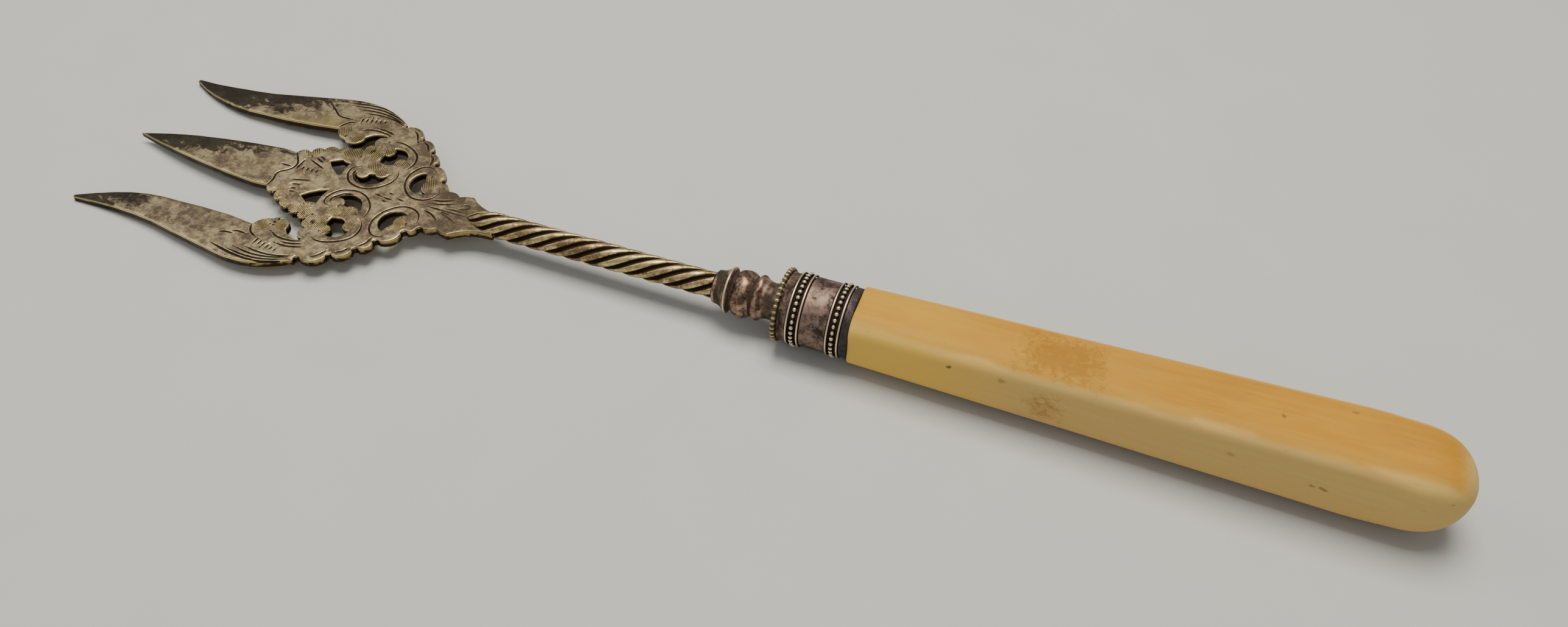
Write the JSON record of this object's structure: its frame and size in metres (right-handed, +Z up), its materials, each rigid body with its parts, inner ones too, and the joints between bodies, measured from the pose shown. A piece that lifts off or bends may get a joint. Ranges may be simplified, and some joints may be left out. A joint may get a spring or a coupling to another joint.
{
  "type": "serving fork",
  "caption": "Antique serving fork with a pierced scroll-edged flat head, twisted stem, turned knop, beaded ferrule and squared tapering handle, for lifting bread or cold cuts.",
  "frame": {"origin": "on the table under the middle of the fork's length, as it lies on its tine tips and the rim of its ferrule", "axes": "+X along the fork from the tine tips to the butt, +Y across the head, +Z up from the table"},
  "size_m": [0.218, 0.041, 0.0146],
  "materials": {
    "tarnished_plate": "engraved silver plate, warm grey with brassy worn edges and dark tarnish at the tips",
    "brassy_plate": "worn plate with brass showing on the ribs",
    "dark_plate": "tarnished plate, brown with a violet tinge",
    "worn_bead_plate": "rubbed bright on top, dark between the beads",
    "tang_steel": "plain forged steel",
    "honey_bone": "polished honey-coloured bone with fine lengthwise grain and small stains",
    "cutler_resin": "dark set resin"
  },
  "bodies": {
    "root": {"fork_head": "tarnished_plate", "twisted_stem": "brassy_plate", "baluster_knop": "dark_plate", "tang": "tang_steel", "ferrule_cap": "dark_plate", "ferrule_sleeve": "dark_plate", "rim_bead_wire": "worn_bead_plate", "front_band_front_wire": "worn_bead_plate", "front_band_bead_wire": "worn_bead_plate", "front_band_rear_wire": "worn_bead_plate", "rear_band_front_wire": "worn_bead_plate", "rear_band_bead_wire": "worn_bead_plate", "rear_band_rear_wire": "worn_bead_plate", "handle": "honey_bone", "tang_cement": "cutler_resin"}
  },
  "joints": []
}
